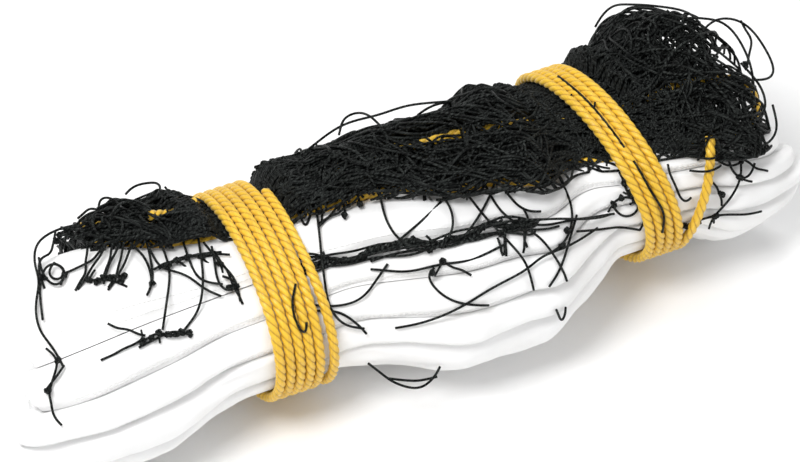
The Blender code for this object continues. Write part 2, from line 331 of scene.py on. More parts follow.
def soiling_group():
    """Blotches of handling dirt: a mask from 0, clean, to 1."""
    made, into, out = group(
        "soiling",
        [("Scale", "NodeSocketFloat", 9.0), ("Amount", "NodeSocketFloat", 0.5)],
        [("Mask", "NodeSocketFloat")],
    )
    place = made.nodes.new("ShaderNodeTexCoord").outputs["Object"]
    blotch = noise_at(made, place, into.outputs["Scale"], 5)
    ramp = made.nodes.new("ShaderNodeMapRange")
    ramp.inputs["From Min"].default_value = 0.45
    ramp.inputs["From Max"].default_value = 0.75
    made.links.new(blotch, ramp.inputs["Value"])
    mask = maths(made, "MULTIPLY", ramp.outputs[0], into.outputs["Amount"])
    made.links.new(mask, out.inputs["Mask"])
    return made


def weave_group():
    """A plain weave laid along the cloth's own directions: its height, from 0 to 1."""
    made, into, out = group(
        "plain_weave", [("Threads", "NodeSocketFloat", 1.0)], [("Height", "NodeSocketFloat")]
    )
    u, v = (maths(made, "MULTIPLY", axis, into.outputs["Threads"]) for axis in lay_axes(made))
    over = maths(made, "MULTIPLY", maths(made, "SINE", u), maths(made, "SINE", v))
    ribs = maths(made, "ABSOLUTE", maths(made, "SINE", maths(made, "MULTIPLY", u, 2.0)))
    over, ribs = maths(made, "MULTIPLY", over, 0.5), maths(made, "MULTIPLY", ribs, 0.3)
    made.links.new(maths(made, "ADD", over, ribs), out.inputs["Height"])
    return made


def strand_group():
    """Fibres that run along a twisted strand: a height, and a shade that changes from fibre to fibre, which
    the black twine stretches into painted glints.
    """
    made, into, out = group(
        "twisted_fibres",
        [
            ("Round", "NodeSocketFloat", 12.0),
            ("Along", "NodeSocketFloat", 0.3),
            ("Twist", "NodeSocketFloat", 0.3),
        ],
        [("Height", "NodeSocketFloat"), ("Shade", "NodeSocketFloat")],
    )
    across, along = lay_axes(made)
    turned = maths(made, "ADD", across, maths(made, "MULTIPLY", along, into.outputs["Twist"]))
    angle = maths(made, "MULTIPLY", turned, 2 * math.pi)
    join = made.nodes.new("ShaderNodeCombineXYZ")
    for socket, value, size in (
        (join.inputs[0], maths(made, "SINE", angle), "Round"),
        (join.inputs[1], maths(made, "COSINE", angle), "Round"),
        (join.inputs[2], along, "Along"),
    ):
        made.links.new(maths(made, "MULTIPLY", value, into.outputs[size]), socket)
    made.links.new(noise_at(made, join.outputs[0], 1.0, 2), out.inputs["Height"])
    made.links.new(noise_at(made, join.outputs[0], 0.33, 2), out.inputs["Shade"])
    return made


def groove_group():
    """The grooves between the three strands of a laid rope: a mask, 1 at a groove's bottom, which the rope
    and twine finishes use to paint shade into the grooves.
    """
    made, into, out = group(
        "laid_grooves", [("Twist", "NodeSocketFloat", 0.4)], [("Mask", "NodeSocketFloat")]
    )
    across, along = lay_axes(made)
    turned = maths(made, "ADD", across, maths(made, "MULTIPLY", along, into.outputs["Twist"]))
    within = maths(made, "FRACT", maths(made, "MULTIPLY", turned, 3.0))
    from_middle = maths(made, "SUBTRACT", maths(made, "MULTIPLY", within, 2.0), 1.0)
    side = maths(made, "ABSOLUTE", from_middle)
    made.links.new(maths(made, "POWER", side, 6.0), out.inputs["Mask"])
    return made


GROUPS = {}


def use_group(tree, maker, **values):
    """A node of the maker's group with the given inputs. Each group is made once."""
    if maker.__name__ not in GROUPS:
        GROUPS[maker.__name__] = maker()
    node = tree.nodes.new("ShaderNodeGroup")
    node.node_tree = GROUPS[maker.__name__]
    for name, value in values.items():
        node.inputs[name].default_value = value
    return node


def new_finish(name, roughness):
    made = bpy.data.materials.new(name)
    made.use_nodes = True
    shader = made.node_tree.nodes["Principled BSDF"]
    shader.inputs["Roughness"].default_value = roughness
    return made, made.node_tree, shader


def mixed(tree, share, first, second):
    """The colour a share of the way from the first to the second."""
    node = tree.nodes.new("ShaderNodeMix")
    node.data_type = "RGBA"
    tree.links.new(share, node.inputs["Factor"])
    for socket, value in ((node.inputs[6], first), (node.inputs[7], second)):
        if isinstance(value, bpy.types.NodeSocket):
            tree.links.new(value, socket)
        else:
            socket.default_value = (*value, 1)
    return node.outputs[2]


def raised(tree, shader, height, strength, distance):
    bump = tree.nodes.new("ShaderNodeBump")
    bump.inputs["Strength"].default_value = strength
    bump.inputs["Distance"].default_value = distance
    tree.links.new(height, bump.inputs["Height"])
    tree.links.new(bump.outputs[0], shader.inputs["Normal"])


def tape_finish():
    made, tree, shader = new_finish("white_tape", 0.62)
    soil = use_group(tree, soiling_group, Scale=14.0, Amount=0.35)
    tree.links.new(
        mixed(tree, soil.outputs["Mask"], (0.90, 0.90, 0.90), (0.80, 0.785, 0.76)),
        shader.inputs["Base Color"],
    )
    weave = use_group(tree, weave_group, Threads=1.0)
    raised(tree, shader, weave.outputs["Height"], 0.35, 0.00025)
    shader.inputs["Sheen Weight"].default_value = 0.25
    shader.inputs["Sheen Roughness"].default_value = 0.5
    return made


def twine_finish():
    made, tree, shader = new_finish("black_twine", 0.44)
    fibres = use_group(tree, strand_group, Round=1.6, Along=1.6, Twist=2.2)
    plies = use_group(tree, groove_group, Twist=1.1)
    # Painted glints: the fibre noise is stretched so that short stretches of the black twine are painted
    # paler, as if they caught the light.
    painted_glint = maths(tree, "MULTIPLY", maths(tree, "SUBTRACT", fibres.outputs["Shade"], 0.44), 4.5)
    colour = mixed(tree, painted_glint, (0.0004, 0.0008, 0.0008), (0.050, 0.056, 0.053))
    # Painted shade: the grooves between the twine's plies are painted darker.
    colour = mixed(tree, plies.outputs["Mask"], colour, (0.0003, 0.0003, 0.0003))
    tree.links.new(colour, shader.inputs["Base Color"])
    raised(tree, shader, fibres.outputs["Height"], 0.9, 0.0008)
    shader.inputs["Specular IOR Level"].default_value = 0.10
    return made


def rope_finish():
    made, tree, shader = new_finish("yellow_rope", 0.36)
    fibres = use_group(tree, strand_group, Round=9.0, Along=0.25, Twist=-0.05)
    colour = mixed(tree, fibres.outputs["Shade"], (0.62, 0.34, 0.012), (0.97, 0.64, 0.045))
    soil = use_group(tree, soiling_group, Scale=60.0, Amount=0.25)
    colour = mixed(tree, soil.outputs["Mask"], colour, (0.46, 0.26, 0.03))
    # Painted shade: the grooves between the rope's three strands are painted darker, on top of the grooves
    # its shape already has.
    grooves = use_group(tree, groove_group, Twist=LAY_LENGTH / ROPE_LAY)
    colour = mixed(tree, grooves.outputs["Mask"], colour, (0.40, 0.20, 0.012))
    tree.links.new(colour, shader.inputs["Base Color"])
    raised(tree, shader, fibres.outputs["Height"], 0.55, 0.0005)
    shader.inputs["Sheen Weight"].default_value = 0.15
    return made


def thread_finish():
    made, tree, shader = new_finish("white_thread", 0.5)
    fibres = use_group(tree, strand_group, Round=1.0, Along=2.0, Twist=2.0)
    tree.links.new(
        mixed(tree, fibres.outputs["Shade"], (0.74, 0.74, 0.72), (0.92, 0.92, 0.91)),
        shader.inputs["Base Color"],
    )
    return made


def floor_finish():
    made, tree, shader = new_finish("studio_floor", 0.9)
    grain = use_group(tree, soiling_group, Scale=3.0, Amount=0.15)
    tree.links.new(
        mixed(tree, grain.outputs["Mask"], (0.93, 0.93, 0.93), (0.91, 0.91, 0.915)),
        shader.inputs["Base Color"],
    )
    shader.inputs["Specular IOR Level"].default_value = 0.0
    return made


# ---------------------------------------------------------------- camera, floor and light

LOOK_AT = Vector((0.013, -0.009, 0.099))
VIEW_AZIMUTH, VIEW_ELEVATION = -25.0, 45.0
VIEW_DISTANCE = 3.2
FRAME_WIDTH = 0.640  # of what the view takes in at that distance
FLOOR_HALF = 12


def set_camera():
    a, e = math.radians(VIEW_AZIMUTH), math.radians(VIEW_ELEVATION)
    back = Vector((math.sin(a) * math.cos(e), -math.cos(a) * math.cos(e), math.sin(e)))
    data = bpy.data.cameras.new("camera")
    data.sensor_width = 36
    data.lens = 36 * VIEW_DISTANCE / FRAME_WIDTH
    data.clip_end = 50
    camera = bpy.data.objects.new("camera", data)
    camera.location = LOOK_AT + back * VIEW_DISTANCE
    camera.rotation_euler = back.to_track_quat("Z", "Y").to_euler()
    bpy.context.scene.collection.objects.link(camera)
    bpy.context.scene.camera = camera


def soft_light(name, place, size, power, aim=(0, 0, 0.08)):
    data = bpy.data.lights.new(name, "AREA")
    data.shape = "DISK"
    data.size = size
    data.energy = power
    light = bpy.data.objects.new(name, data)
    light.location = place
    light.rotation_euler = (Vector(place) - Vector(aim)).to_track_quat("Z", "Y").to_euler()
    bpy.context.scene.collection.objects.link(light)


def set_studio():
    scene = bpy.context.scene
    scene.view_settings.view_transform = "Standard"
    world = bpy.data.worlds.new("studio")
    world.use_nodes = True
    sky = world.node_tree.nodes["Background"]
    sky.inputs["Color"].default_value = (1, 1, 1, 1)
    sky.inputs["Strength"].default_value = 0.57
    scene.world = world
    soft_light("key", (-0.9, -0.5, 1.9), 0.8, 30)
    soft_light("top", (0.5, 0.6, 2.2), 1.4, 14)
    soft_light("fill", (1.4, -1.8, 0.9), 1.2, 5)
    mesh = bpy.data.meshes.new("floor")
    corners = [(x * FLOOR_HALF, y * FLOOR_HALF, 0) for x, y in ((-1, -1), (1, -1), (1, 1), (-1, 1))]
    mesh.from_pydata(corners, [], [(0, 1, 2, 3)])
    mesh.materials.append(floor_finish())
    floor = bpy.data.objects.new("floor", mesh)
    scene.collection.objects.link(floor)


# ---------------------------------------------------------------- ropes

def on_top(x, degrees):
    """A tie rope's centre, lying on the outside of the bundle as its solid does."""
    lift = ROPE_RADIUS + 0.0015 + 1.6 * NETTING_SWELL * looseness(x, degrees)
    return at(x, degrees, 1, lift)


def left_tie_path():
    """Out of the netting, and six turns to the right. The last one parts from the rest at the front."""
    turns, last_short, fine = 6, 0.06, 66
    start_x = LEFT_TIE_X - TURN_PITCH * (turns - 1) / 2
    start = 46.0
    t = np.arange(0, 1, 0.05)
    lead = on_top(start_x - 0.050 * (1 - t) ** 1.6, start + 26 * (1 - t))
    turn = np.arange(0, turns - last_short, 1 / fine)
    angle = start - 360 * turn
    x = start_x + TURN_PITCH * (turn - 0.25)
    x = x + np.where(turn > turns - 1, 0.004 * np.maximum(np.cos(np.radians(angle - 196)), 0), 0)
    return np.concatenate([lead, on_top(x, angle)])


def right_tie_path():
    """A tail down the front that bears away to the right, and then four leaning turns."""
    turns, fine = 4, 66
    tail_top, tail_foot = 133.0, 200.0
    last = 360 * turns + 300
    angle = np.linspace(tail_top, last, int((last - tail_top) / 360 * fine))
    lean = -TIE_LEAN * np.cos(np.radians(angle - LEAN_ANGLE))
    x = RIGHT_TIE_X + TURN_PITCH * (turns / 2 + 1 - angle / 360) + lean
    tail = np.maximum(tail_foot - angle, 0) / (tail_foot - tail_top)
    return on_top(x + 0.040 * tail**1.3, angle)


def foot_rope_path():
    """Along the netting's front edge, round at its right end, and back further up."""
    depth = -(ROPE_RADIUS + 0.0006)
    x = np.linspace(NETTING[0] + 0.010, NETTING[1], 60)
    front = at(x, edge_at(x, 1), 1, depth)
    back = at(x, edge_at(x, 0), 1, depth)
    middle = (front[-1] + back[-1]) / 2
    reach = np.linalg.norm(front[-1] - middle)
    swing = np.linspace(0, math.pi, 14)[1:-1, None]
    turn = middle + (front[-1] - middle) * np.cos(swing) + np.array((reach, 0, 0)) * np.sin(swing)
    return np.concatenate([front, turn, back[::-1]])


def laid_strands(turn, along):
    """A rope's share of its radius: three strands laid round each other, with a groove between each two."""
    third = 2 * math.pi / 3
    within = (turn + 2 * math.pi * along / ROPE_LAY) % third / third
    return 0.56 + 0.46 * np.sqrt(np.maximum(1 - (2 * within - 1) ** 2, 0))


def make_rope(name, node, path, finish):
    path = evenly(path, 0.0013)
    points, faces, uvs = tubes(path[None], ROPE_RADIUS, 30, laid_strands)
    rope = piece(name, points, faces, finish, uvs)
    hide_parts(node)


def make_ropes():
    finish = rope_finish()
    make_rope("yellow_tie_left", "tie_rope_left", left_tie_path(), finish)
    make_rope("yellow_tie_right", "tie_rope_right", right_tie_path(), finish)
    make_rope("yellow_foot_rope", "foot_rope", foot_rope_path(), finish)


# ---------------------------------------------------------------- headband

# Each stack of folds: how far its ends stop short at left and right, and its number of runs
STACKS = (
    (0.030, 0.024, 3),
    (0.024, 0.012, 3),
    (0.007, 0.000, 3),
    (0.000, 0.004, 3),
    (0.042, 0.010, 4),
    (0.030, 0.020, 4),
)


def crease_share(edge, x):
    """How deep the crease at an edge is at x: it opens and closes along the bundle."""
    pressed = 0.45 * np.exp(-(((x + 0.02) / 0.09) ** 2)) if edge in (3, 4) else 0
    return 0.80 + 0.40 * ripple(60 + edge, x * 19, x * 43, x * 77) - pressed


def stack_depth(index, x, u, layer, runs):
    """(angle, share, half thickness) of one run of a stack, at places x along and u across."""
    top, bottom = edge_at(x, index), edge_at(x, index + 1)
    margin = np.degrees(FOLD_GAP / radius_at(x, top))
    angle = top + margin + (bottom - top - 2 * margin) * u
    radius = radius_at(x, angle)
    deep = (1 - FOLD_INNER) / runs
    nearer = np.where(u < 0.5, crease_share(index, x), crease_share(index + 1, x))
    crease = CREASE_DEPTH * nearer * looseness(x, angle) * np.abs(2 * u - 1) ** 2.4 / radius
    fade = 1 - layer / runs
    return angle, 1 - deep * (layer + 0.5) - crease * fade, deep * radius / 2


def leaf_lift(index, x, u, angle, half, leaf):
    """How far a leaf of the doubled tape stands off its run's middle, with its puckers and dents."""
    fold_round = np.sqrt(np.clip(1 - (1 - np.minimum(u / 0.16, 1)) ** 2, 0, 1))
    open_flat = 0.12 + 0.88 * eased((1 - u) / 0.28)
    off = half * 0.90 * fold_round * open_flat * leaf
    loose = looseness(x, angle)
    gathers = ripple(index * 7 + 1, angle / 3.1 + x * 12, angle / 1.9 - x * 17, angle / 6 + x * 29)
    dents = ripple(index * 7 + 2, x * 41 + angle / 15, x * 27 - angle / 9, x * 83 + angle / 31)
    crinkles = ripple(index * 7 + 3, x * 190 + angle / 5, x * 260 - angle / 7, x * 120 + angle / 3)
    near_tie = loose * (1 - loose) * 4
    pucker = 0.0014 * dents * loose + (0.0003 + 0.0013 * near_tie) * gathers + 0.00028 * crinkles * loose
    edge_fade = eased(np.minimum(u, 1 - u) / 0.10)
    return off, pucker * edge_fade * (leaf > 0)


def tape_run(index, layers, runs, short_left, short_right, step, columns):
    """A run of the doubled tape, out on one layer and, if there are two, back on the other: a sheet
    folded along its upper edge and open along its lower one."""
    start, stop = -HALF_LENGTH + short_left, HALF_LENGTH - short_right
    reach = 0.020
    x_out = np.linspace(stop - reach, start + reach, int((stop - start) / step))
    looped = len(layers) == 2
    # Each row across the tape: its x, how far it is on its way to the second layer, and which way its
    # outer side faces, outward and along X
    if looped:
        swing = [(math.sin(s), math.cos(s)) for s in np.linspace(0, math.pi, 13)[1:-1]]
        rows = [(x, 0.0, 1.0, 0.0) for x in x_out]
        rows += [(start + reach - reach * sine, (1 - cosine) / 2, cosine, -sine) for sine, cosine in swing]
        rows += [(x, 1.0, -1.0, 0.0) for x in x_out[::-1]]
        rows += [(stop - reach + reach * sine, (1 + cosine) / 2, -cosine, sine) for sine, cosine in swing]
    else:
        rows = [(x, 0.0, 1.0, 0.0) for x in np.linspace(stop - 0.004, start + 0.004, len(x_out))]
    rows = np.array(rows)
    half_across = (1 - np.cos(np.linspace(0, math.pi, columns))) / 2
    # From the open edge over the outer leaf to the fold, and back along the inner leaf
    u = np.concatenate([half_across[::-1], half_across[1:]])
    leaf = np.concatenate([np.ones(columns), -np.ones(columns - 1)])
    x = rows[:, 0][:, None]
    angle, share, half = stack_depth(index, x, u[None], layers[0], runs)
    if looped:
        other = stack_depth(index, x, u[None], layers[1], runs)
        t = rows[:, 1][:, None]
        angle, share, half = (one * (1 - t) + two * t for one, two in zip((angle, share, half), other))
    off, pucker = leaf_lift(index, x, u[None], angle, half, leaf[None])
    normal_out, normal_x = rows[:, 2][:, None], rows[:, 3][:, None]
    points = at(x + off * normal_x, angle, share, (off + pucker) * normal_out)
    count = points.shape[1]
    grid = np.arange(points.shape[0] * count).reshape(points.shape[:2])
    if looped:
        grid = np.concatenate([grid, grid[:1]])
    quads = np.stack([grid[:-1, :-1], grid[:-1, 1:], grid[1:, 1:], grid[1:, :-1]], -1).reshape(-1, 4)
    along, across = (
        np.concatenate([[0], np.cumsum(np.linalg.norm(np.diff(line, axis=0), axis=1))])
        for line in (points[:, columns // 2], points[len(points) // 4])
    )
    threads = 2 * math.pi / THREAD_PITCH
    uvs = np.stack(np.broadcast_arrays(along[:, None] * threads, across[None] * threads), -1)
    return points.reshape(-1, 3), quads.tolist(), uvs.reshape(-1, 2)


def make_stitching():
    """Two rows of white stitches along the open edge of each stack's outermost run."""
    dashes = []
    for number, (short_left, short_right, runs) in enumerate(STACKS, start=1):
        x = np.arange(-HALF_LENGTH + short_left + 0.024, HALF_LENGTH - short_right - 0.026, 0.0045)
        for u in (0.80, 0.90):
            stitch = x[:, None] + np.linspace(0, 0.0032, 4)[None]
            angle, share, half = stack_depth(number, stitch, u, 0, runs)
            off, pucker = leaf_lift(number, stitch, np.full_like(stitch, u), angle, half, 1.0)
            hump = 0.0003 * np.sin(np.linspace(0, math.pi, 4))[None]
            dashes.append(at(stitch, angle, share, off + pucker + hump))
    points, faces, uvs = tubes(np.concatenate(dashes), 0.00032, 5)
    piece("headband_stitching", points, faces, thread_finish(), uvs)


def make_headband():
    parts = []
    for number, (short_left, short_right, runs) in enumerate(STACKS, start=1):
        inner = (2, 3) if runs == 4 else (2,)
        parts.append(tape_run(number, (0, 1), runs, short_left, short_right, 0.004, 20))
        parts.append(tape_run(number, inner, runs, short_left + 0.01, short_right + 0.01, 0.015, 7))
    points, faces, uvs = joined(parts)
    headband = piece("headband", points, faces, tape_finish(), uvs, tube=False)
    solid = headband.modifiers.new("tape thickness", "SOLIDIFY")
    solid.thickness = TAPE_THICK
    solid.offset = -1
    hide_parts(*FOLD_NODES)
    make_stitching()


# ---------------------------------------------------------------- netting

def hang_at(x):
    """How many degrees the loose netting hangs past its front edge."""
    return np.interp(x, (-0.26, -0.09, -0.07, 0.02, 0.05, 0.23, 0.26, 0.30), (5, 4, 0, 0, 2, 2, 8, 6))


# How much higher or lower than its solid the heap lies: places along X and rises, in mm. It wells up
# beside the ties and lies nearly straight between them.
HEAP_RISES = np.array((
    (-235, -26), (-215, -22), (-188, -8), (-175, 3), (-160, 17), (-148, 17), (-139, 4), (-128, 0),
    (-84, 0), (-76, 10), (-69, 14), (-58, 9), (-44, -3), (-29, -10), (-10, -18), (10, -21),
    (50, -24), (75, -27), (92, -26), (106, -17), (123, -5), (143, 0), (156, 6), (163, 0),
    (223, 0), (228, 11), (235, 12), (243, -3), (253, -12), (275, -14), (292, -19), (312, -25), (340, -30),
)) * MM
# Places along X where the netting parts over the foot rope's back run, and half the width of each
PARTINGS = ((-0.168, 0.019), (0.026, 0.007), (0.053, 0.014), (0.122, 0.013))


def parted(x, degrees):
    """How far the netting is parted at a place, from 0 to 1."""
    away = [np.hypot((x - place) / half, (degrees - edge_at(x, 0)) / 3.6) for place, half in PARTINGS]
    return eased((1.5 - np.minimum.reduce(away)) / 0.6)


def heap_rise(x, degrees):
    """The rise at a place. A low stretch is lowest at the back, and at the front it keeps its height."""
    rise = np.interp(unleaned(x, degrees), HEAP_RISES[:, 0], HEAP_RISES[:, 1])
    low = 0.25 * eased((100 - degrees) / 25) + 0.75 * eased((75 - degrees) / 30)
    high = eased((112 - degrees) / 32)
    return rise * np.where(rise < 0, low, high) * eased((degrees + 65) / 45)


def make_core(finish):
    """The heap's dark inside, lumpy as packed twine is, and the rest of the netting inside the folds."""
    x = np.linspace(NETTING[0] + 0.022, NETTING[1] + 0.002, 150)[:, None]
    t = np.linspace(0, 1, 120)[None]
    front = edge_at(x[:, 0], 1)[:, None] - 1.2
    angle = HEAP_BACK + (front - HEAP_BACK) * t
    ends = np.minimum(x - x[0], x[-1] - x) / 0.05
    taper = 1 - 0.55 * (1 - np.sqrt(np.clip(1 - (1 - np.clip(ends, 0, 1)) ** 2, 0, 1)))
    swell = NETTING_SWELL * looseness(x, angle) * np.sin(math.pi * np.clip(t * 1.02, 0, 1)) ** 0.5
    lumps = ripple(5, x * 300 + angle / 3, x * 210 - angle / 2.1, x * 480 + angle / 1.3)
    lift = swell - 0.0045 + heap_rise(x, angle) + 0.0016 * lumps * looseness(x, angle)
    lift = lift - 0.013 * parted(x, angle)
    outer = at(x, angle, taper, lift)
    middle_angle = front + (360 + HEAP_BACK - front) * np.linspace(0, 1, 40)[None]
    middle = at(x, middle_angle, (FOLD_INNER - 0.02) * taper, 0)
    points = np.concatenate([outer, middle], 1)
    count = points.shape[1]
    grid = np.arange(points.shape[0] * count).reshape(points.shape[:2])
    ring = np.concatenate([grid, grid[:, :1]], 1)
    quads = np.stack([ring[:-1, :-1], ring[:-1, 1:], ring[1:, 1:], ring[1:, :-1]], -1).reshape(-1, 4)
    faces = quads[:, ::-1].tolist() + [grid[0].tolist(), grid[-1][::-1].tolist()]
    angles = np.concatenate([angle, middle_angle], 1)
    uvs = np.stack(np.broadcast_arrays(angles * 0.2, x / LAY_LENGTH), -1).reshape(-1, 2)
    core = piece("netting_core", points.reshape(-1, 3), faces, finish, uvs, tube=False)
    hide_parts("netting")
    return core


def end_strands(seed, many, x_end, way):
    """Strands that curl across an end of the heap and over the middle, domed outward. Way is -1 at the
    left end and 1 at the right."""
    r = np.random.default_rng(seed)
    t = np.linspace(0, 1, 34)[None]
    length = r.uniform(0.5, 1.5, (many, 1))
    heading = r.uniform(0, 2 * math.pi, (many, 1)) + r.normal(0, 1.8, (many, 1)) * t
    spread, around = np.sqrt(r.uniform(0, 0.95, (many, 1))), r.uniform(0, 2 * math.pi, (many, 1))
    p = spread * np.cos(around) + np.cumsum(np.cos(heading), 1) * length / 34
    q = spread * np.sin(around) + np.cumsum(np.sin(heading), 1) * length / 34
    share = np.hypot(p, q)
    degrees = (np.degrees(np.arctan2(q, p)) - HEAP_BACK) % 360 + HEAP_BACK
    x = np.full_like(share, x_end)
    # Inside the folds they stay within the middle, and elsewhere they reach the heap's outside
    in_heap = eased((edge_at(x, 1) + 4 - degrees) / 12) * eased((degrees - HEAP_BACK) / 12)
    inside, outside = FOLD_INNER - 0.08, 0.96
    limit = inside + (outside - inside) * in_heap
    share = limit * np.tanh(share / limit)
    dome = 0.028 * np.sqrt(np.clip(1 - share**2, 0, 1)) + r.uniform(-0.010, 0.006, (many, 1))
    return off_floor(at(x + way * dome, degrees, share, 0), TWINE_RADIUS + CLOTH_GAP)


def gathered_layer(seed, apart, bar, rise, reach, hang, kept=1.0):
    """One layer of the gathered net: its bars, each a length of twine that buckles between two knots, and
    its knots. NETTING_LAYERS says what is given."""
    r = np.random.default_rng(seed)
    columns = round((reach[1] - reach[0]) / apart[0])
    rows = round(math.radians(200) * MEAN_RADIUS / apart[1])
    i, j = np.meshgrid(np.arange(columns), np.arange(rows), indexing="ij")
    x = reach[0] + (reach[1] - reach[0]) * (i + 0.5 + r.uniform(-0.5, 0.5, i.shape)) / columns
    share = np.clip((j + 0.5 * (i % 2) + r.uniform(-0.5, 0.5, i.shape)) / (rows - 0.5), 0, 1)
    first = HEAP_BACK + 1
    degrees = first + (edge_at(x, 1) + hang * hang_at(x) - first) * share
    places = np.stack([x, degrees, r.uniform(*rise, i.shape)], -1)
    here, near = places[:-1], places[1:]
    way = np.where(i[:-1] % 2, 1, -1)
    aside = j[:-1] + way
    valid = (aside >= 0) & (aside < rows)
    across = near[i[:-1], np.clip(aside, 0, rows - 1)]
    a = np.concatenate([here.reshape(-1, 3), here[valid], places[::2, :-1].reshape(-1, 3)])
    d = np.concatenate([near.reshape(-1, 3), across[valid], places[::2, 1:].reshape(-1, 3)])
    chosen = r.uniform(size=len(a)) < kept
    a, d = a[chosen], d[chosen]
    # Thinner towards the left end
    chosen = r.uniform(size=len(a)) < np.clip((a[:, 0] - NETTING[0] + 0.012) / 0.036, 0.10, 1)
    a, d = a[chosen], d[chosen]
    # Worked flat, in metres along and round
    scale = np.array([1, math.radians(1) * MEAN_RADIUS, 1])
    chord = (d - a) * scale
    length = np.hypot(chord[:, 0], chord[:, 1])
    heading = np.arctan2(chord[:, 1], chord[:, 0])
    loose = looseness((a + d)[:, 0] / 2, (a + d)[:, 1] / 2)
    many = len(a)
    bend = r.uniform(0.2, 1.45, (2, many)) * r.choice([-1, 1], many) * (0.12 + 0.88 * loose)
    bend[1] *= np.where(r.uniform(size=many) < 0.35, -1, 1)
    handle = length / 3 + (np.maximum(0.40 * bar, length / 3) - length / 3) * loose
    rising = r.uniform(-0.001, 0.006, (2, many))
    out = np.stack([handle * np.cos(heading + bend[0]), handle * np.sin(heading + bend[0]), rising[0]], -1)
    home = np.stack([handle * np.cos(heading - bend[1]), handle * np.sin(heading - bend[1]), -rising[1]], -1)
    b, c = a + out / scale, d - home / scale
    t = np.linspace(0, 1, 13)[None, :, None]
    a, b, c, d = a[:, None], b[:, None], c[:, None], d[:, None]
    paths = a * (1 - t) ** 3 + 3 * b * t * (1 - t) ** 2 + 3 * c * t**2 * (1 - t) + d * t**3
    lowest = edge_at(paths[..., 0], 1) + hang * hang_at(paths[..., 0]) + 4
    paths[..., 1] = np.clip(paths[..., 1], HEAP_BACK - 1, lowest)
    paths = paths[r.uniform(size=len(paths)) > 0.9 * parted(paths[..., 0], paths[..., 1]).max(1)]
    places = places.reshape(-1, 3)
    places = places[parted(places[:, 0], places[:, 1]) < 0.5]
    return laid_on_heap(paths), laid_on_heap(places)


def laid_on_heap(places):
    """(x, degrees, lift) on the heap as points, pressed down where the ties hold it."""
    x, degrees, lift = places[..., 0], places[..., 1], places[..., 2]
    loose = looseness(x, degrees)
    ends = np.minimum(x - NETTING[0] + 0.012, NETTING[1] + 0.034 - x) / 0.060
    round_over = 1 - 0.38 * (1 - np.sqrt(np.clip(1 - (1 - np.clip(ends, 0, 1)) ** 2, 0, 1)))
    rise = NETTING_SWELL * loose + heap_rise(x, degrees)
    points = at(x, degrees, round_over, rise + lift * (0.08 + 0.92 * loose) - 0.0005)
    return off_floor(points, TWINE_RADIUS + CLOTH_GAP)


def long_strands(seed, many, reach, behind, spread, stand=0.004):
    """Strands of several bars drawn out over the heap in long curves. LONG_STRANDS says what is given."""
    r = np.random.default_rng(seed)
    t = np.linspace(0, 1, 44)[None]
    length = r.uniform(0.05, 0.15, (many, 1)) / max(spread, 1)
    heading = r.normal(0, spread, (many, 1)) + math.pi * r.integers(0, 2, (many, 1))
    turning = r.normal(0, 1.9 * spread, (many, 1)) * t
    turning = turning + r.normal(0, 0.5, (many, 1)) * np.sin(t * r.uniform(4, 9, (many, 1)))
    x = np.cumsum(np.cos(heading + turning) * length / 44, 1)
    round_it = np.cumsum(np.sin(heading + turning) * length / 44, 1)
    x = x - x.mean(1, keepdims=True) + r.uniform(*reach, (many, 1))
    x = np.clip(x, NETTING[0] + 0.002, NETTING[1] + 0.030)
    degrees = np.degrees((round_it - round_it.mean(1, keepdims=True)) / MEAN_RADIUS)
    degrees = edge_at(x, 1) + degrees - r.uniform(*behind, (many, 1))
    degrees = np.minimum(degrees, edge_at(x, 1) + np.maximum(hang_at(x), 4) + 3)
    kept = r.uniform(size=many) > 0.7 * parted(x, degrees).max(1)
    x, degrees, many = x[kept], degrees[kept], kept.sum()
    tucked = eased(np.minimum(t, 1 - t) / 0.14)
    bulge = r.uniform(0.008, 0.011, (many, 1)) + r.uniform(0, stand, (many, 1)) * np.sin(math.pi * t)
    return laid_on_heap(np.stack([x, degrees, -0.003 + bulge * tucked], -1))


def sheet_bends(places, seed, size=0.0023):
    """A small knot at each place: two loops of twine drawn tight through each other."""
    r = np.random.default_rng(seed)
    many = len(places)
    axes = r.normal(size=(many, 3))
    axes /= np.linalg.norm(axes, axis=1, keepdims=True)
    other = np.cross(axes, r.normal(size=(many, 3)))
    other /= np.linalg.norm(other, axis=1, keepdims=True)
    third = np.cross(axes, other)
    s = np.linspace(0, 2 * math.pi * 0.93, 11)[None, :, None]
    wide, tight = size, size * 0.62
    loop = places[:, None] + wide * np.cos(s) * axes[:, None] + tight * np.sin(s) * other[:, None]
    loop = loop + third[:, None] * (size * 0.55) * np.sin(2 * s)
    cross = places[:, None] + tight * np.cos(s) * third[:, None] + wide * 0.9 * np.sin(s) * axes[:, None]
    cross = cross + other[:, None] * (size * 0.5) * np.cos(2 * s)
    return np.concatenate([loop, cross])


def cut_tails(places, seed, length=0.014):
    """Short cut ends that stand off the knots."""
    r = np.random.default_rng(seed)
    way = r.normal(size=(len(places), 3))
    way /= np.linalg.norm(way, axis=1, keepdims=True)
    bend = np.cross(way, r.normal(size=way.shape)) * 0.25
    t = np.linspace(0, 1, 5)[None, :, None]
    reach = length * r.uniform(0.5, 1.2, (len(places), 1, 1))
    return places[:, None] + reach * (way[:, None] * t + bend[:, None] * t**2)


WHOLE_NETTING = (NETTING[0] + 0.006, NETTING[1] + 0.008)
LOOSE_NETTING = (NETTING[0] - 0.006, NETTING[1] + 0.020)
# Each layer of netting: the spacing of its knots along and round the heap, the length of a bar, the
# lowest and highest lift, the first and last x, its share of the hang past the netting's edge, and the
# share of its bars that are there
NETTING_LAYERS = (
    ("netting_under", (0.017, 0.012), 0.040, (-0.003, 0.001), WHOLE_NETTING, 0.2, 1.0),
    ("netting_middle", (0.019, 0.014), 0.048, (0.000, 0.004), WHOLE_NETTING, 0.6, 1.0),
    ("netting_over", (0.021, 0.016), 0.055, (0.003, 0.006), WHOLE_NETTING, 1.0, 1.0),
    ("netting_loose", (0.030, 0.026), 0.070, (0.005, 0.008), LOOSE_NETTING, 1.0, 0.7),
)
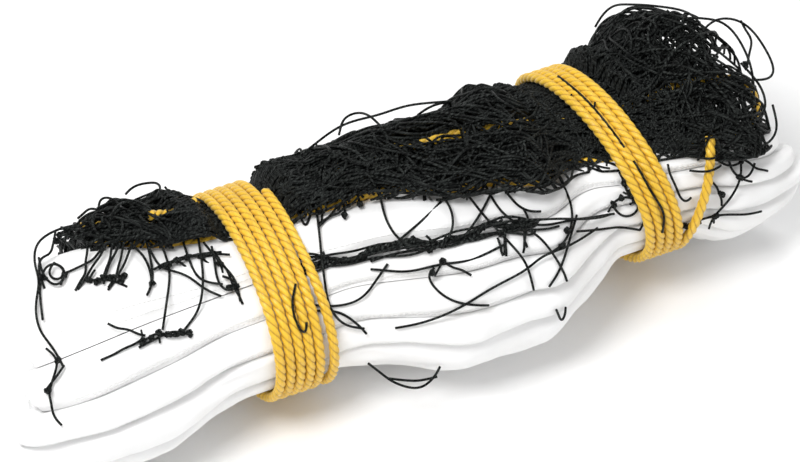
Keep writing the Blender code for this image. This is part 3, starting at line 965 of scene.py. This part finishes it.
# Each set of long strands: its seed and how many, the places along X, the degrees behind the netting's
# front edge, how far they turn from the bundle's length, and how far their middles may stand off the heap
LONG_STRANDS = (
    (51, 80, (-0.07, 0.15), (-4, 90), 0.7),
    (52, 90, (0.23, 0.31), (-8, 150), 0.8, 0.008),
    (53, 110, (-0.238, -0.15), (0, 55), 1.7, 0.016),
    (54, 60, (-0.10, 0.30), (90, 180), 0.6),
    (55, 40, (-0.24, -0.15), (-6, 5), 0.25),
    (56, 40, (0.05, 0.17), (-4, 4), 0.25),
    (57, 12, (-0.08, 0.04), (-4, -1.5), 0.12),
    (58, 40, (0.22, 0.29), (-8, 4), 0.5),
    (63, 36, (0.28, 0.315), (-8, 30), 1.7, 0.006),
    (59, 14, (0.00, 0.17), (18, 45), 0.25),
    (60, 36, (-0.06, 0.13), (20, 85), 1.6, 0.008),
    (64, 26, (-0.085, 0.03), (-5, 5), 1.2),
)


def make_netting(finish):
    make_core(finish)
    for seed, (name, *layer) in enumerate(NETTING_LAYERS, start=31):
        bars, knots = gathered_layer(seed, *layer)
        parts = [tubes(bars, TWINE_RADIUS, 5)]
        if name != "netting_under":
            parts.append(tubes(sheet_bends(knots, seed), TWINE_RADIUS, 5))
            parts.append(tubes(cut_tails(knots[::7], seed, 0.010), TWINE_RADIUS * 0.95, 5))
        points, faces, uvs = joined(parts)
        piece(name, off_floor(points, TWINE_GAP), faces, finish, uvs)
    strands = [long_strands(*strand_set) for strand_set in LONG_STRANDS]
    strands.append(end_strands(61, 230, NETTING[0] + 0.020, -1))
    strands.append(end_strands(62, 230, NETTING[1] - 0.008, 1))
    points, faces, uvs = joined([tubes(paths, TWINE_RADIUS, 6) for paths in strands])
    piece("netting_long_strands", off_floor(points, TWINE_GAP), faces, finish, uvs)


# ---------------------------------------------------------------- loose twine and the edge cord

# Each strand's route: places along X in mm and angles in degrees, and a lift in mm where it stands off
OVER_THE_MIDDLE = (
    ((-57, 84, 3), (-67, 104, 3), (-78, 126, 3), (-82, 146, 2), (-74, 160, 2), (-59, 166)),
    ((-96, 146), (-75, 152), (-62, 164), (-58, 170)),
    ((-10, 92, 3), (-18, 106, 3), (-19, 117, 4), (-12, 125, 5), (2, 129, 5), (18, 126, 5), (27, 120, 4),
     (29, 113, 4), (25, 106, 4), (20, 98, 4)),
    ((44, 106), (21, 112), (-11, 120), (-27, 125)),
    ((-30, 131), (-53, 145), (-76, 148), (-97, 142)),
    ((45, 108, 3), (52, 122, 3), (63, 136, 4), (71, 146, 3), (73, 160)),
    ((63, 130, 4), (56, 140, 2)),
    ((78, 127, 4), (76, 140, 2)),
    ((55, 132, 4), (55, 140, 2)),
    ((-5, 128, 3), (15, 128, 4), (37, 126, 4), (62, 127, 4), (86, 130, 4), (112, 136, 3), (152, 152, 2),
     (164, 156)),
    ((-70, 123, 2), (-47, 125, 3), (-25, 125, 4), (-4, 126, 4)),
    ((-89, 114, 2), (-73, 118, 3), (-64, 124, 3)),
    ((-37, 98, 2), (-52, 99, 2), (-64, 100)),
    ((-81, 84, 3), (-84, 92, 3), (-89, 102)),
    ((-74, 82, 3), (-75, 98, 4), (-63, 84, 4)),
    ((21, 98, 3), (14, 108)),
    ((64, 103), (69, 124), (90, 139), (101, 156), (103, 163)),
    ((76, 110), (80, 120), (87, 126), (98, 128)),
    ((73, 110), (58, 118), (42, 124), (33, 127)),
    ((128, 118), (129, 133), (120, 142), (109, 146), (93, 146)),
    ((130, 141), (109, 150), (86, 161)),
    ((147, 156), (95, 146), (67, 150), (28, 154), (-18, 164), (-37, 167)),
    ((8, 135), (18, 140), (26, 144)),
    ((1, 137), (-6, 139), (-2, 148), (14, 156), (34, 160)),
    ((-66, 102), (-54, 98), (-41, 94), (-31, 91)),
    ((-43, 132), (-21, 136), (4, 136), (29, 138), (59, 136)),
    ((-92, 116), (-73, 118), (-67, 124), (-42, 126)),
    ((125, 147), (159, 162), (188, 176)),
    ((-41, 128), (-22, 127), (2, 128), (38, 129), (75, 132), (109, 138)),
    ((167, 151), (177, 148), (188, 153), (189, 161), (180, 164), (170, 158), (167, 150)),
    ((181, 134), (182, 140), (183, 148)),
    ((186, 138), (190, 152)),
    ((195, 156), (195, 166), (188, 176)),
    ((62, 134), (58, 141)),
    ((83, 130), (77, 137), (72, 142)),
    ((80, 130), (121, 140), (150, 151), (167, 157)),
    ((-104, 128, 9), (-111, 136, 9), (-114, 148, 9), (-108, 156, 9), (-105, 149, 8)),
    ((90, 175), (95, 186), (100, 182), (99, 177)),
    ((-55, 202), (-48, 204, 8), (-40, 207, 16), (-22, 207, 18), (-9, 204, 8), (-4, 200)),
    ((-44, 206, 12), (-25, 205, 13), (-8, 203, 8)),
    ((-83, 86), (-89, 99)),
    ((-70, 84), (-76, 100), (-63, 90)),
    ((-53, 86), (-62, 101)),
    ((-35, 86), (-45, 103)),
    ((-25, 88), (-31, 100)),
    ((21, 98), (15, 108)),
    ((-46, 57, 12), (-11, 58, 15), (17, 65, 15), (45, 66, 15), (77, 70, 12)),
    ((-16, 64, 15), (-5, 57, 17), (6, 56, 17), (12, 64, 16), (14, 72, 12)),
)
AT_THE_LEFT_END = (
    ((-240, 66, 4), (-258, 67, 6), (-276, 71, 7), (-286, 80, 6), (-290, 90, 6), (-297, 97, 6), (-303, 104, 6),
     (-306, 113, 6), (-303, 118, 4), (-300, 126, 2), (-299, 130)),
    ((-281, 78, 4), (-285, 88, 4), (-282, 96, 4), (-275, 96, 4), (-269, 90, 4), (-274, 84, 4), (-280, 84, 4),
     (-290, 91, 4), (-296, 99, 4), (-301, 108, 5)),
    ((-306, 120), (-301, 127, 2), (-307, 132), (-313, 138), (-317, 140), (-315, 144, 2), (-318, 150),
     (-317, 154), (-313, 158)),
    ((-298, 130), (-303, 132, 2), (-312, 136), (-318, 139)),
    ((-253, 66, 6), (-240, 73, 5), (-225, 70, 6)),
    ((-256, 70, 5), (-244, 78, 3), (-233, 84, 4)),
    ((-259, 68, 6), (-272, 80, 4), (-278, 78, 5), (-285, 82, 4), (-288, 93)),
    ((-273, 85, 4), (-268, 88, 4), (-270, 93, 3), (-278, 94, 3), (-282, 90, 4), (-279, 86, 5), (-273, 85, 5)),
    ((-268, 90), (-245, 89), (-231, 84, 4)),
    ((-245, 84, 4), (-257, 95), (-268, 100)),
    ((-224, 84, 5), (-236, 94, 3), (-246, 100)),
    ((-215, 84, 5), (-234, 100), (-245, 105)),
    ((-197, 82, 5), (-202, 96), (-209, 106), (-218, 112)),
    ((-187, 82, 5), (-190, 98), (-197, 109), (-217, 129)),
    ((-153, 78, 4), (-164, 101, 3), (-171, 112, 3), (-184, 126), (-204, 134)),
    ((-234, 131), (-220, 129), (-212, 134), (-202, 133)),
    ((-256, 119), (-246, 124), (-232, 129)),
    ((-271, 133), (-255, 132), (-234, 130)),
    ((-240, 133), (-226, 132), (-210, 131), (-196, 136)),
    ((-203, 100), (-182, 96), (-150, 98)),
    ((-166, 77, 3), (-173, 100), (-170, 111), (-156, 116)),
    ((-150, 96), (-148, 116), (-147, 130)),
    ((-257, 98), (-241, 100), (-230, 106)),
    ((-252, 101), (-240, 98), (-228, 101)),
    ((-231, 85, 4), (-240, 90, 5), (-249, 94, 3), (-266, 100)),
    ((-218, 84, 4), (-234, 94, 4), (-245, 100)),
    ((-207, 83, 4), (-224, 96, 4), (-244, 104)),
    ((-211, 84, 4), (-206, 99, 2), (-210, 107), (-216, 111)),
    ((-199, 100), (-183, 97, 2), (-162, 96, 2), (-141, 102, 3)),
    ((-199, 99), (-180, 98, 3), (-163, 95), (-146, 99, 3)),
    ((-155, 90, 3), (-151, 104, 2), (-146, 116, 2), (-148, 128)),
    ((-151, 94, 3), (-157, 108, 2), (-158, 118, 2), (-151, 122, 3), (-146, 117, 4), (-154, 112, 2)),
    ((-250, 75, 5), (-241, 76, 5), (-230, 74, 5), (-214, 67, 6)),
    ((-255, 67, 6), (-243, 69, 6), (-228, 68, 6), (-211, 62, 7)),
    ((-218, 60, 5), (-214, 56, 14), (-205, 54, 18), (-201, 62, 12), (-214, 68, 8), (-220, 60, 6)),
    ((-217, 74, 5), (-210, 82, 5), (-192, 82, 5), (-172, 76, 6), (-159, 76, 4), (-150, 84, 3)),
    ((-199, 88, 4), (-198, 100, 2), (-182, 106, 3), (-172, 116, 2), (-161, 122)),
    ((-188, 48, 18), (-176, 45, 26), (-162, 50, 26), (-168, 60, 20), (-184, 62, 14)),
    ((-219, 62, 12), (-198, 52, 13), (-177, 50, 13), (-160, 50, 9)),
    ((-190, 52, 10), (-168, 47, 15), (-150, 46, 14), (-137, 50, 8), (-132, 58, 3)),
    ((-238, 66, 9), (-222, 61, 12), (-210, 66, 9)),
    ((-225, 68, 10), (-218, 74, 10), (-229, 82, 8), (-244, 82, 5)),
)
AT_THE_RIGHT_END = (
    ((177, 66, 8), (178, 77, 8), (183, 98, 8), (190, 122, 8)),
    ((193, 130, 8), (200, 150, 9), (206, 165, 9), (204, 178, 8)),
    ((229, 188), (247, 183), (271, 180), (297, 185)),
    ((221, 138, 4), (219, 146, 7), (227, 164, 5), (235, 164)),
    ((250, 154), (248, 166), (243, 178)),
    ((253, 156), (260, 164), (260, 173)),
    ((281, 150), (277, 160), (255, 180), (255, 188)),
    ((271, 147), (272, 155), (280, 160), (288, 159), (293, 154)),
    ((258, 143, 3), (270, 152), (284, 150), (310, 150)),
    ((278, 144), (288, 154), (304, 161)),
    ((287, 92, 8), (314, 86, 14), (332, 90, 15), (336, 104, 14), (333, 118, 9), (308, 116, 5)),
    ((333, 88, 12), (328, 101, 12), (312, 112, 8)),
    ((271, 77, 12), (288, 94, 14), (306, 112, 10)),
    ((244, 34, 6), (258, 36, 10), (264, 56, 12), (277, 68, 12), (296, 80, 12), (297, 92, 8)),
    ((300, 80, 8), (316, 90, 14), (318, 109, 12), (305, 128, 8)),
    ((262, 128, 5), (290, 134, 9), (312, 132, 9), (318, 122, 9), (312, 108, 6)),
    ((270, 138, 4), (300, 146, 7), (318, 142, 8), (322, 130, 8)),
    ((234, 127, 3), (246, 132, 16), (262, 134, 17), (276, 138, 4)),
    ((243, 121, 4), (255, 129, 16), (261, 136, 17), (264, 147, 3)),
    ((246, 142, 3), (251, 135, 16), (264, 128, 15), (280, 122, 6)),
    ((240, 138, 2), (248, 141, 14), (256, 142, 17), (266, 142, 3)),
    ((238, 146, 2), (246, 147, 14), (254, 147, 15), (263, 149, 2)),
)
# Knots of the loose twine: the same, without lifts
LOOSE_KNOTS = (
    (8, 135), (-2, 139), (-12, 125), (2, 129), (12, 128), (60, 131), (65, 129), (77, 129), (115, 142),
    (106, 146), (168, 151), (176, 149), (187, 153), (182, 141), (184, 148), (-250, 66), (-256, 67),
    (-261, 70), (-255, 98), (-250, 100), (-244, 99), (-238, 100), (-233, 103), (-229, 101), (-236, 131),
    (-228, 131), (-221, 130), (-214, 132), (-208, 133), (-203, 133), (-197, 135), (-301, 127), (-316, 139),
    (-191, 99), (-182, 97), (-172, 96), (-162, 97), (-152, 119), (-147, 119), (-285, 88), (-270, 91),
    (-210, 107), (-151, 104), (-225, 69), (-248, 68), (-44, 101), (-30, 99), (-89, 101), (230, 187),
    (241, 185), (255, 181), (281, 150), (277, 158), (260, 165), (305, 112), (318, 108),
)


def laid_out(route, count):
    """A strand's route as points lying on the bundle."""
    route = np.array([(x, a, lift[0] if lift else 0) for x, a, *lift in route], float)
    path = smooth_path(route, count)
    lift = np.maximum(path[:, 2], 0) * MM + TWINE_RADIUS + TWINE_GAP
    return at(path[:, 0] * MM, path[:, 1], 1, lift)


def softened(path, passes):
    """The path with its bends eased, as stiff twine has them."""
    for _ in range(passes):
        path[1:-1] = (path[:-2] + 2 * path[1:-1] + path[2:]) / 4
    return path


def make_loose_twine(finish):
    """The strands of net that have come loose from the heap and hang over the headband."""
    wander = np.random.default_rng(44)
    groups = (
        ("loose_twine_middle", OVER_THE_MIDDLE), ("loose_twine_left", AT_THE_LEFT_END),
        ("loose_twine_right", AT_THE_RIGHT_END),
    )
    for name, routes in groups:
        parts = []
        for route in routes:
            path = softened(evenly(laid_out(route, 80), 0.002), 16)
            s = np.linspace(0, 1, len(path))[:, None]
            sway = sum(
                wander.normal(0, 0.0003, (1, 3)) * np.sin(s * wander.uniform(3, 12) + wander.uniform(0, 6))
                for _ in range(3)
            )
            parts.append(tubes((path + sway * np.sin(math.pi * s))[None], TWINE_RADIUS, 7))
        points, faces, uvs = joined(parts)
        piece(name, points, faces, finish, uvs)
    knots = np.array(LOOSE_KNOTS, float)
    places = at(knots[:, 0] * MM, knots[:, 1], 1, 0.0022)
    parts = [tubes(sheet_bends(places, 9, 0.0026), TWINE_RADIUS * 1.05, 6)]
    parts.append(tubes(cut_tails(places[::2], 10, 0.010), TWINE_RADIUS * 0.95, 6))
    points, faces, uvs = joined(parts)
    piece("loose_knots", points, faces, finish, uvs)


def make_edge_cord(finish):
    """The cord that laces the netting to the headband, of three plies, with single strands beside it. It
    lies in the crease below the first stack, and sinks into it near the ties."""
    low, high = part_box("edge_cord")
    x = np.linspace(low[0], high[0], 420)
    angle = edge_at(x, 2)
    shown = eased((x + 0.110) / 0.015) * eased((0.110 - x) / 0.03)
    lift = -0.022 + 0.0232 * shown
    turn = 2 * math.pi * x / 0.026
    sway = 1.3 * np.sin(x * 90) + 0.9 * np.sin(x * 210)
    apart = np.degrees(0.0016 / 0.11)
    plies = []
    for side in (0, math.pi * 2 / 3, math.pi * 4 / 3):
        around = apart * np.cos(turn + side)
        plies.append(at(x, angle + sway * shown + around, 1, lift + 0.0013 * np.sin(turn + side)))
    parts = [tubes(np.stack(plies), TWINE_RADIUS * 1.3, 7)]
    for offset, phase in ((1.6, 0.0), (-1.9, 1.7), (3.2, 3.1)):
        drift = offset + 1.3 * np.sin(x * 55 + phase) + 0.7 * np.sin(x * 130 + phase)
        beside = at(x, angle + drift * shown, 1, lift + 0.0006)
        parts.append(tubes(beside[(x > -0.112) & (x < 0.106)][None], TWINE_RADIUS, 7))
    places = at(x, angle + sway * shown, 1, lift + 0.0006)
    places = places[(shown > 0.8)][::9]
    parts.append(tubes(sheet_bends(places, 12, 0.0030), TWINE_RADIUS * 1.1, 6))
    parts.append(tubes(cut_tails(places[::2], 13, 0.012), TWINE_RADIUS, 6))
    points, faces, uvs = joined(parts)
    cord = piece("black_edge_cord", points, faces, finish, uvs)
    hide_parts("edge_cord")


set_camera()
set_studio()
make_ropes()
make_headband()
twine = twine_finish()
make_netting(twine)
make_loose_twine(twine)
make_edge_cord(twine)
